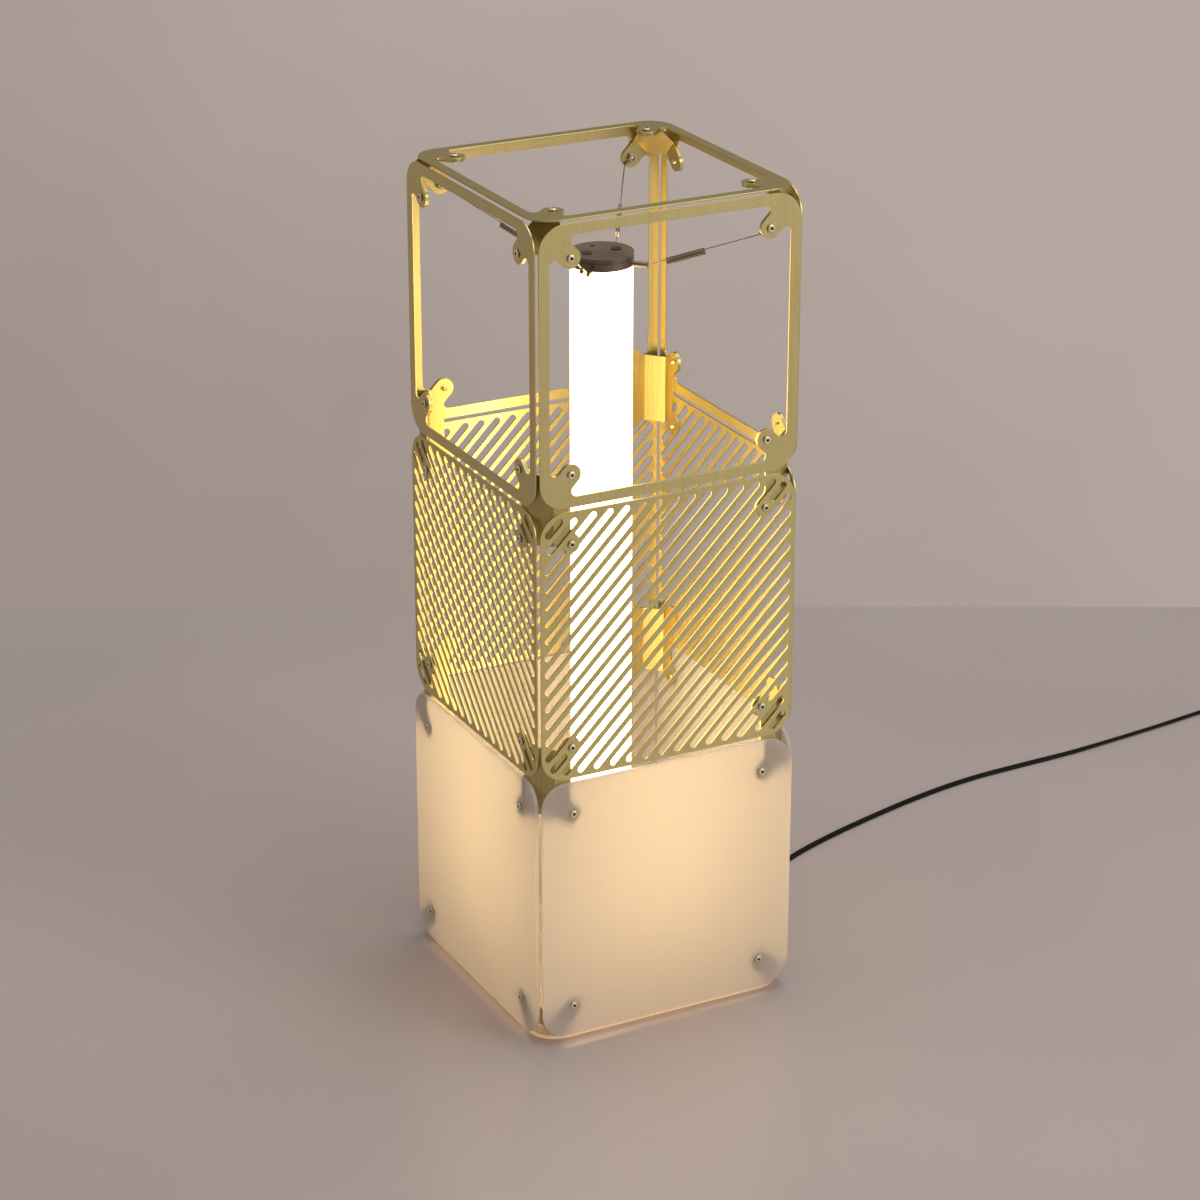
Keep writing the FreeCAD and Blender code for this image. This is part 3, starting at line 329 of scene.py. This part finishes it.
def even_grain(name, pale, deep, roughness, metallic=0.0, grit=900.0, **more):
    """Turned, moulded or painted surface: a fine even grit, 0.05 mm deep, breaks its shine, and
    tone and shine drift slowly over about 40 mm."""
    m = new_material(name)
    place = add(m, "ShaderNodeTexCoord")
    fine = add(m, "ShaderNodeTexNoise", inputs={
        "Vector": place.outputs["Object"], "Scale": grit, "Detail": 2.0})
    slow = add(m, "ShaderNodeTexNoise", inputs={
        "Vector": place.outputs["Object"], "Scale": 25.0, "Detail": 3.0})
    tone = ramp(m, slow.outputs["Fac"], [(0.35, deep), (0.65, pale)])
    rough = ramp(m, slow.outputs["Fac"], [(0.3, roughness - 0.05), (0.7, roughness + 0.05)])
    bump = add(m, "ShaderNodeBump", inputs={
        "Strength": 0.25, "Distance": 0.00005, "Height": fine.outputs["Fac"]})
    shader = add(m, "ShaderNodeBsdfPrincipled", inputs={
        "Base Color": tone, "Metallic": metallic, "Roughness": rough, "Normal": bump.outputs[0], **more})
    return finish_material(m, shader)


ACRYLIC_IOR = 1.49


def frosted_back(name):
    """Blasted inner face of the acrylic: dull and grey where light is thrown back from it, and
    open to the light that goes on to the outer face."""
    m = new_material(name)
    place = add(m, "ShaderNodeTexCoord")
    frost = add(m, "ShaderNodeTexNoise", inputs={
        "Vector": place.outputs["Object"], "Scale": 1400.0, "Detail": 1.0})
    bump = add(m, "ShaderNodeBump", inputs={
        "Strength": 0.12, "Distance": 0.0001, "Height": frost.outputs["Fac"]})
    inside = add(m, "ShaderNodeBsdfPrincipled", inputs={
        "Base Color": colour("#C9C4BE"), "Roughness": 0.6, "IOR": ACRYLIC_IOR,
        "Normal": bump.outputs[0]})
    window = add(m, "ShaderNodeBsdfTransparent", inputs={"Color": colour("#FFFDFA")})
    mix = add(m, "ShaderNodeMixShader", inputs={
        0: 0.62, 1: inside.outputs[0], 2: window.outputs[0]})
    return finish_material(m, mix)


def satin_face(name, glow=0.0):
    """Satin outer face of the acrylic: it spreads the light from inside completely, so that
    brackets behind it draw soft shadows and the tube only a glow, and it keeps a dull shine.
    A little more than half of the light goes through.  The glow is painted light: an even emission over
    the face, standing in for the tube's light that the base sheet leads to its edges."""
    m = new_material(name)
    place = add(m, "ShaderNodeTexCoord")
    satin = add(m, "ShaderNodeTexNoise", inputs={
        "Vector": place.outputs["Object"], "Scale": 1100.0, "Detail": 1.0})
    rough = ramp(m, satin.outputs["Fac"], [(0.3, 0.36), (0.7, 0.46)])
    outside = add(m, "ShaderNodeBsdfPrincipled", inputs={
        "Base Color": colour("#E3D9CD"), "Roughness": rough, "IOR": ACRYLIC_IOR,
        "Emission Color": colour("#FFCF94"), "Emission Strength": glow})
    spread = add(m, "ShaderNodeBsdfTranslucent", inputs={"Color": colour("#FFFBF6")})
    mix = add(m, "ShaderNodeMixShader", inputs={
        0: 0.56, 1: outside.outputs[0], 2: spread.outputs[0]})
    return finish_material(m, mix)


def lit_opal(name, code, strength):
    """Opal tube, lit from inside: it glows evenly, and less in its lowest 70 mm, where the
    boards inside end and the collar holds it."""
    m = new_material(name)
    place = add(m, "ShaderNodeTexCoord")
    split = add(m, "ShaderNodeSeparateXYZ", inputs={0: place.outputs["Object"]})
    height = add(m, "ShaderNodeMapRange", inputs={
        "Value": split.outputs["Z"], "From Min": 0.05, "From Max": 0.12, "To Min": 0.45,
        "To Max": 1.0})
    glow = ramp(m, height.outputs[0], [(0.0, "#8C7C68"), (1.0, code)])
    shader = add(m, "ShaderNodeBsdfPrincipled", inputs={
        "Base Color": colour("#F4EFE6"), "Roughness": 0.35, "IOR": ACRYLIC_IOR,
        "Emission Color": glow, "Emission Strength": strength})
    return finish_material(m, shader)


# The grain runs up the walls, and along the width on the roof.
BRASS_WALL = brushed("brushed_champagne_brass_sheet", "#DFD296", "#CEC083", 0.37, (1500.0, 1500.0, 14.0))
# The roof's copy of the sheet is also a tone deeper than the walls': painted shade.
BRASS_ROOF = brushed("brushed_champagne_brass_roof", "#D2C58A", "#C0B277", 0.37, (14.0, 1500.0, 14.0))
# Bent from brushed sheet with a coarser and shorter grain; its tone is set a little deeper than the
# walls', painted shade for brackets that sit in the panels' shade.
BRACKET = brushed("bent_brass_bracket", "#D6C98A", "#BBAA6B", 0.38, (900.0, 900.0, 30.0))

FROST_BACK = frosted_back("frosted_acrylic_back")
FROST_FACE = satin_face("satin_acrylic_face")
# Painted light: the base sheet's outer face and edges glow by themselves, as if lit by the tube's light
# led through the sheet.
BASE_FACE = satin_face("acrylic_with_painted_glow", 0.5)
OPAL = lit_opal("lit_opal_tube", "#FFDA9C", 7.0)

# Turned and anodised: a dark warm brown with a soft sheen on the cap and the wire holders.
CAP = even_grain("dark_bronze_anodised_aluminium", "#978A7D", "#786B60", 0.38, 0.9)
# Oil-blackened: nearly black, with a small sharp highlight, so the heads read as dark dots.
LID_SCREW = even_grain("blackened_countersunk_steel", "#4C433B", "#362E28", 0.3, 0.9)
# Bright drawn wire and turned parts: a grey line with a bright streak where it faces a light.
STEEL = even_grain("turned_steel", "#B9B2A4", "#8F8878", 0.3, 1.0)
# Plated button heads: a pale brass ring round the dark socket.
SCREW_BRASS = even_grain("brass_toned_screw_steel", "#F6EFCB", "#E4DAB0", 0.42, 1.0)
# Painted shade: the inside of a socket and the lower edge of a head, where the head casts shade, are
# nearly black.
SOCKET = even_grain("shaded_screw_socket", "#2A2216", "#171209", 0.6, 0.4)
# Pressed tube: grey, with a dull streak along it.
SLEEVE = even_grain("crimped_dark_aluminium", "#A79F93", "#888075", 0.36, 0.9)
# Powder coat on the parts inside the base: matt off-white that throws the light about.
UNIT = even_grain("white_powder_coat", "#DEDAD3", "#CFCAC2", 0.55, 0.0, 1500.0)
# Extruded cord jacket: deep black with a broad weak sheen on its upper side.
PVC = even_grain("black_flexible_pvc", "#060606", "#030303", 0.5, 0.0, 1200.0,
                 **{"Specular IOR Level": 0.25})
# Moulded plug and strain relief: black with a fine texture.
MOULDING = even_grain("black_moulded_pvc", "#161616", "#0E0E0E", 0.5, 0.0, 1500.0)
# Cut foot pads: black without a shine.
RUBBER = even_grain("black_rubber_pad", "#262524", "#181716", 0.75, 0.0, 1000.0)
# Plated and polished: a pale warm metal with a clear highlight on nuts and pins.
NICKEL = even_grain("nickel_plated_brass", "#CFC9B8", "#B5AE9B", 0.25, 1.0)
# Lacquered boards: smooth white.
BOARD = even_grain("white_solder_mask", "#ECEAE2", "#E0DDD2", 0.4)
# Untreated bar: even light grey metal.
RAW = even_grain("extruded_aluminium", "#B8B8B6", "#A3A3A1", 0.4, 1.0)


def dress(piece, materials, stands_for=()):
    """Gives a new piece its finishes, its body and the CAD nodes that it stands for."""
    for material in materials:
        piece.data.materials.append(material)
    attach(piece, "root")
    if stands_for:
        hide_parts(*stands_for)
    return piece


def finish_node(node, material):
    """Puts a finish on a CAD node, whose mesh stays as it is."""
    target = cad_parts[node]
    for holder in target.material_slots:
        holder.material = material


# ------------------------------------------------------------------ panels

square = rounded_square(PANEL, CORNER)
frame_loops = [square, eared_window()] + screw_holes()
frosted_loops = [square] + screw_holes()
outlet_hole = hole(OUTLET[0], OUTLET[1] - LEVELS["frosted"], 6.0, 32)

for side in SIDES:
    place = wall_place(side, LEVELS["open"])
    open_frame = sheet_from(f"open_frame_{side}", frame_loops, SHEET, SHEET_EDGE, place)
    dress(open_frame, [BRASS_WALL], [f"upper_frame_{side}"])

    place = wall_place(side, LEVELS["slotted"])
    loops = [square] + slot_outlines(side == "front") + screw_holes()
    slotted = sheet_from(f"slotted_sheet_{side}", loops, SHEET, SHEET_EDGE, place)
    dress(slotted, [BRASS_WALL], [f"slotted_panel_{side}"])

    place = wall_place(side, LEVELS["frosted"])
    loops = frosted_loops + ([outlet_hole] if side == "right" else [])
    frosted = sheet_from(f"frosted_sheet_{side}", loops, ACRYLIC, ACRYLIC_EDGE, place)
    dress(frosted, [FROST_FACE, FROST_BACK], [f"frosted_panel_{side}"])

roof = sheet_from("roof_frame", frame_loops, SHEET, SHEET_EDGE, flat_place(ROOF))
dress(roof, [BRASS_ROOF], ["top_frame"])
base = sheet_from("base_sheet", frosted_loops, ACRYLIC, ACRYLIC_EDGE, flat_place(BASE), back_side=1)
dress(base, [BASE_FACE, FROST_BACK], ["base_panel"])


# ------------------------------------------------------------------ screws

# M4 button head with a 2.5 mm socket, from the shank to the socket's floor: radius, height over
# the panel, and the share of hexagon in the ring.
BUTTON = [
    (2.0, -6.0, 0), (2.0, 0.0, 0), (3.3, 0.0, 0), (3.3, 0.45, 0), (3.5, 0.5, 0), (3.45, 1.25, 0),
    (3.1, 1.65, 0), (2.5, 1.85, 0), (1.8, 1.9, 0.2), (1.45, 1.9, 1), (1.4, 1.8, 1), (1.4, 0.6, 1),
]
AROUND = 24
# These bands and the socket's floor take the painted shade: nearly black where the head shades itself.
PAINTED_SHADE_RINGS = (2, 3, 9, 10)      # bands of the profile: the head's lower edge, and the socket


def screw_places(level, out):
    """The sixteen screws of one cell, four on each side, on the outer face of their panels."""
    return [
        wall_place(side, level) @ Matrix.Translation((x * MM, y * MM, out * MM))
        for side in SIDES for x in (-SCREW, SCREW) for y in (-SCREW, SCREW)
    ]


button, button_faces = lathe(BUTTON, AROUND)
painted_shade_faces = {ring * AROUND + n for ring in PAINTED_SHADE_RINGS for n in range(AROUND)}
painted_shade_faces.add(len(button_faces) - 1)       # the socket's floor, which is the last face


def set_screws(name, node, places):
    """One piece for all screws of a CAD node: brass-toned heads with a dark socket."""
    heads = many(name, button, button_faces, places, painted_shade_faces)
    dress(heads, [SCREW_BRASS, SOCKET], [node])


set_screws("open_frame_buttons", "upper_frame_screws", screw_places(LEVELS["open"], SHEET))
set_screws("slotted_sheet_buttons", "slotted_panel_screws", screw_places(LEVELS["slotted"], SHEET))
set_screws("frosted_sheet_buttons", "frosted_panel_screws", screw_places(LEVELS["frosted"], ACRYLIC))
corners = [(x * MM, y * MM, (ROOF + SHEET) * MM) for x in (-SCREW, SCREW) for y in (-SCREW, SCREW)]
set_screws("roof_buttons", "top_frame_screws", [Matrix.Translation(corner) for corner in corners])


# ------------------------------------------------------------------ CAD nodes with their finishes

# A node takes the finish whose key its name begins with.
FINISHES = {
    "top_bracket": BRACKET, "upper_bracket": BRACKET, "lower_bracket": BRACKET, "base_bracket": BRACKET,
    "base_panel_screws": SCREW_BRASS, "feet": RUBBER, "diffuser_tube": OPAL, "led_core": RAW,
    "led_boards": BOARD, "cap_ring": CAP, "cap_lid": CAP, "cap_screws": LID_SCREW, "wire_barrels": CAP,
    "stay_wire": STEEL, "wire_sleeves": SLEEVE, "wire_lugs": STEEL, "lug_nuts": NICKEL,
    "base_cup": UNIT, "tube_collar": UNIT, "cup_screws": STEEL, "driver": UNIT, "inner_lead": PVC,
    "strain_relief": MOULDING, "plug_body": MOULDING, "plug_pins": NICKEL,
}
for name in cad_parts:
    for start, material in FINISHES.items():
        if name.startswith(start):
            finish_node(name, material)


# ------------------------------------------------------------------ mains cord

CORD_WIDTH, CORD_THICK = 5.4, 3.1
LIE = CORD_THICK / 2 + 0.35     # height of the cord's middle where it lies leaning on the floor
EXIT = (159.5, *OUTLET)
# Control points of the cord's way from the outlet to the coil.
ROUTE = [
    EXIT, (184.0, *OUTLET), (220.0, 75.0, LIE), (264.0, 98.5, LIE), (318.0, 119.0, LIE),
    (374.0, 136.0, LIE), (438.0, 153.5, LIE), (508.0, 166.5, LIE), (574.0, 169.5, LIE),
    (634.0, 171.0, LIE), (694.0, 177.5, LIE), (757.0, 184.5, LIE), (818.0, 193.5, LIE),
    (872.0, 200.2, LIE),
]
TURNS = 3.0                     # in on the floor, and as many out again on top
COIL_RADIUS, STEP = 31.5, 5.95  # middle radius, and from one turn to the next
JOIN = np.array([908.0, 203.0])     # where the route runs into the coil
START = math.radians(96.0)          # and the angle about the coil's middle there
LEAN_AT = (250, 600, 690, 850, 872)     # x along the route, and the lean there in degrees
LEAN = (20, 20, -15, -15, 0)
TAIL = np.array([(10.0, 6.0), (24.0, 11.0), (39.0, 13.0)])     # way past the coil, and height there


def coil_points(per_turn=14):
    """Spiral in along the floor, up one layer, and out again on top.  After n turns the angle
    is start - 2 pi n, and the radius has fallen by a step for each turn in and grown by a step
    for each turn out.  The climb is a smooth step 3 c^2 - 2 c^3 over half a turn."""
    n = np.arange(0, 2 * TURNS * per_turn + 1) / per_turn
    outer = COIL_RADIUS + STEP * TURNS / 2
    radius = outer - STEP * np.minimum(n, TURNS) + STEP * np.maximum(n - TURNS, 0)
    climb = np.clip(n - TURNS + 0.25, 0, 0.5) / 0.5
    height = LIE + (CORD_THICK + 0.3) * (3 * climb**2 - 2 * climb**3)
    middle = JOIN - outer * np.array([math.cos(START), math.sin(START)])
    a = START - 2 * math.pi * n
    return np.stack([middle[0] + radius * np.cos(a), middle[1] + radius * np.sin(a), height], 1)


def route_curve(points):
    """One smooth line through the whole cord, with the route's points as its control points."""
    curve = bpy.data.curves.new("cord_route", "CURVE")
    curve.dimensions = "3D"
    curve.resolution_u = 8
    spline = curve.splines.new("NURBS")
    spline.points.add(len(points) - 1)
    spline.points.foreach_set("co", np.c_[points * MM, np.ones(len(points))].ravel())
    spline.order_u = 3
    spline.use_endpoint_u = True
    holder = bpy.data.objects.new("cord_route", curve)
    bpy.context.collection.objects.link(holder)
    mesh = bpy.data.meshes.new_from_object(holder)
    line = np.empty(len(mesh.vertices) * 3)
    mesh.vertices.foreach_get("co", line)
    bpy.data.objects.remove(holder)
    return line.reshape(-1, 3) / MM


def flat_cord(name, line):
    """Flat twin cord, an outline carried along the line.  Across, it is half the width times
    |cos a|^0.75 with the sign of cos a; up, half the thickness times sin a, less 16% near the
    middle for the groove.  It leans to one side on the first part of its way and to the other
    on the last, and lies flat in the coil."""
    a = np.linspace(0, 2 * math.pi, 24, endpoint=False)
    wide = CORD_WIDTH / 2 * np.sign(np.cos(a)) * np.abs(np.cos(a)) ** 0.75
    thick = CORD_THICK / 2 * np.sin(a) * (1 - 0.16 * np.exp(-((np.cos(a) / 0.22) ** 2)))
    ahead = np.gradient(line, axis=0)
    ahead /= np.linalg.norm(ahead, axis=1, keepdims=True)
    side = np.cross(ahead, (0, 0, 1.0))
    side /= np.linalg.norm(side, axis=1, keepdims=True)
    up = np.cross(side, ahead)
    lean = np.radians(np.interp(line[:, 0], LEAN_AT, LEAN))[:, None]
    side, up = np.cos(lean) * side - np.sin(lean) * up, np.cos(lean) * up + np.sin(lean) * side
    grid = line[:, None] + side[:, None] * wide[None, :, None] + up[:, None] * thick[None, :, None]
    rows, cols = grid.shape[:2]
    i, j = np.meshgrid(np.arange(rows - 1), np.arange(cols), indexing="ij")
    after = (j + 1) % cols
    quads = np.stack([i * cols + j, (i + 1) * cols + j, (i + 1) * cols + after, i * cols + after], -1)
    ends = [list(range(cols)), [rows * cols - 1 - k for k in range(cols)]]
    return mesh_from(name, grid.reshape(-1, 3), quads.reshape(-1, 4).tolist() + ends, True)


turns = coil_points()
last = turns[-1] - turns[-2]
last = last / np.linalg.norm(last)
tail = turns[-1] + last * TAIL[:, :1]
tail[:, 2] = TAIL[:, 1]
line = route_curve(np.concatenate([np.array(ROUTE), turns, tail]))
cord = dress(flat_cord("twin_cord", line), [PVC], ["cord_run", "cord_coil"])


# ------------------------------------------------------------------ floor, light and camera

AZ, EL, ROLL = -27.508, 22.390, 0.036       # the photograph's angles, in degrees
DISTANCE, LENS = 3160.0, 107.3
AIM_RIGHT, AIM_UP = -0.99, 356.6            # middle of the picture, from the column's foot


def camera_axes():
    """Right, up and back of the camera: back = (sin az cos el, -cos az cos el, sin el), and
    right and up are turned about it by the roll."""
    az, el, roll = (math.radians(v) for v in (AZ, EL, ROLL))
    back = np.array([math.sin(az) * math.cos(el), -math.cos(az) * math.cos(el), math.sin(el)])
    right = np.array([math.cos(az), math.sin(az), 0.0])
    up = np.cross(back, right)
    turned = math.cos(roll) * right + math.sin(roll) * up
    return turned, -math.sin(roll) * right + math.cos(roll) * up, back


right, up, back = camera_axes()
camera = bpy.data.objects.new("camera", bpy.data.cameras.new("camera"))
bpy.context.collection.objects.link(camera)
across = np.array([math.cos(math.radians(AZ)), math.sin(math.radians(AZ)), 0.0])
eye = (across * AIM_RIGHT + np.array([0, 0, AIM_UP]) + back * DISTANCE) * MM
camera.matrix_world = Matrix([[right[k], up[k], back[k], eye[k]] for k in range(3)] + [[0, 0, 0, 1]])
camera.data.lens = LENS
camera.data.sensor_width = 36.0
camera.data.clip_end = 50.0
bpy.context.scene.camera = camera

# The floor ends in a straight line behind the lamp, where the wall of the studio begins, and
# reaches far on the other sides.
BEHIND, REACH = 845.0, 9000.0
ahead = np.array([-across[1], across[0], 0.0])
floor_corners = np.array([
    across * x + ahead * y
    for x, y in ((-REACH, -REACH), (REACH, -REACH), (REACH, BEHIND), (-REACH, BEHIND))
])
floor = mesh_from("studio_floor", floor_corners, [[0, 1, 2, 3]])
# Painted floor: matt and uneven over about 0.8 m, with a soft mirror image near the lamp.
floor_paint = new_material("satin_floor")
spot = add(floor_paint, "ShaderNodeTexCoord")
mottle = add(floor_paint, "ShaderNodeTexNoise", inputs={
    "Vector": spot.outputs["Object"], "Scale": 1.3, "Detail": 2.0})
floor_tone = ramp(floor_paint, mottle.outputs["Fac"], [(0.3, "#AFA29D"), (0.7, "#BAADA7")])
floor_shader = add(floor_paint, "ShaderNodeBsdfPrincipled", inputs={
    "Base Color": floor_tone, "Roughness": 0.30})
finish_material(floor_paint, floor_shader)
floor.data.materials.append(floor_paint)

world = bpy.data.worlds.new("studio")
bpy.context.scene.world = world
world.use_nodes = True
world.node_tree.nodes.clear()
# The wall is a little paler above and to the right, and the room over the lamp is darker.
towards = add(world, "ShaderNodeTexCoord")
slope = (1.1 * right + 1.6 * up).tolist()
paler = add(world, "ShaderNodeVectorMath", {"operation": "DOT_PRODUCT"},
            {0: towards.outputs["Generated"], 1: slope})
patches = add(world, "ShaderNodeTexNoise", inputs={
    "Vector": towards.outputs["Generated"], "Scale": 14.0, "Detail": 3.0})
shade = add(world, "ShaderNodeMath", {"operation": "MULTIPLY_ADD"},
            {0: patches.outputs["Fac"], 1: 0.16, 2: paler.outputs["Value"]})
wall = ramp(world, shade.outputs[0], [(0.0, "#A0928B"), (0.33, "#B3A79F")])
split = add(world, "ShaderNodeSeparateXYZ", inputs={0: towards.outputs["Generated"]})
height = add(world, "ShaderNodeMapRange", inputs={
    "Value": split.outputs["Z"], "From Min": 0.1, "From Max": 0.65, "To Min": 1.0, "To Max": 0.17})
# The camera, mirror images and what is seen through a piece show the wall; the rest of the
# light comes evenly from all sides.
path_of = add(world, "ShaderNodeLightPath")
shown = add(world, "ShaderNodeBackground", inputs={"Color": wall, "Strength": height.outputs[0]})
light = add(world, "ShaderNodeBackground", inputs={"Color": colour("#F4F1F2"), "Strength": 0.40})
seen = add(world, "ShaderNodeMath", {"operation": "MAXIMUM"},
           {0: path_of.outputs["Is Camera Ray"], 1: path_of.outputs["Is Transmission Ray"]})
mirrored = add(world, "ShaderNodeMath", {"operation": "MAXIMUM"},
               {0: seen.outputs[0], 1: path_of.outputs["Is Glossy Ray"]})
both = add(world, "ShaderNodeMixShader", inputs={
    0: mirrored.outputs[0], 1: light.outputs[0], 2: shown.outputs[0]})
result = add(world, "ShaderNodeOutputWorld")
world.node_tree.links.new(both.outputs[0], result.inputs["Surface"])


def softbox(name, where, size, watts):
    """Square white light at a point, both in metres, turned to the middle of the lamp."""
    lamp = bpy.data.lights.new(name, "AREA")
    lamp.size, lamp.energy = size, watts
    holder = bpy.data.objects.new(name, lamp)
    bpy.context.collection.objects.link(holder)
    holder.location = where
    aim = Vector((0, 0, 0.35)) - Vector(where)
    holder.rotation_euler = aim.to_track_quat("-Z", "Y").to_euler()


softbox("top_light", (0.5, 0.0, 3.2), 2.6, 44.0)
softbox("right_light", (1.6, -2.6, 1.5), 1.6, 29.0)
softbox("left_light", (-2.6, 0.8, 1.6), 1.6, 6.0)
bpy.context.scene.view_settings.view_transform = "Standard"
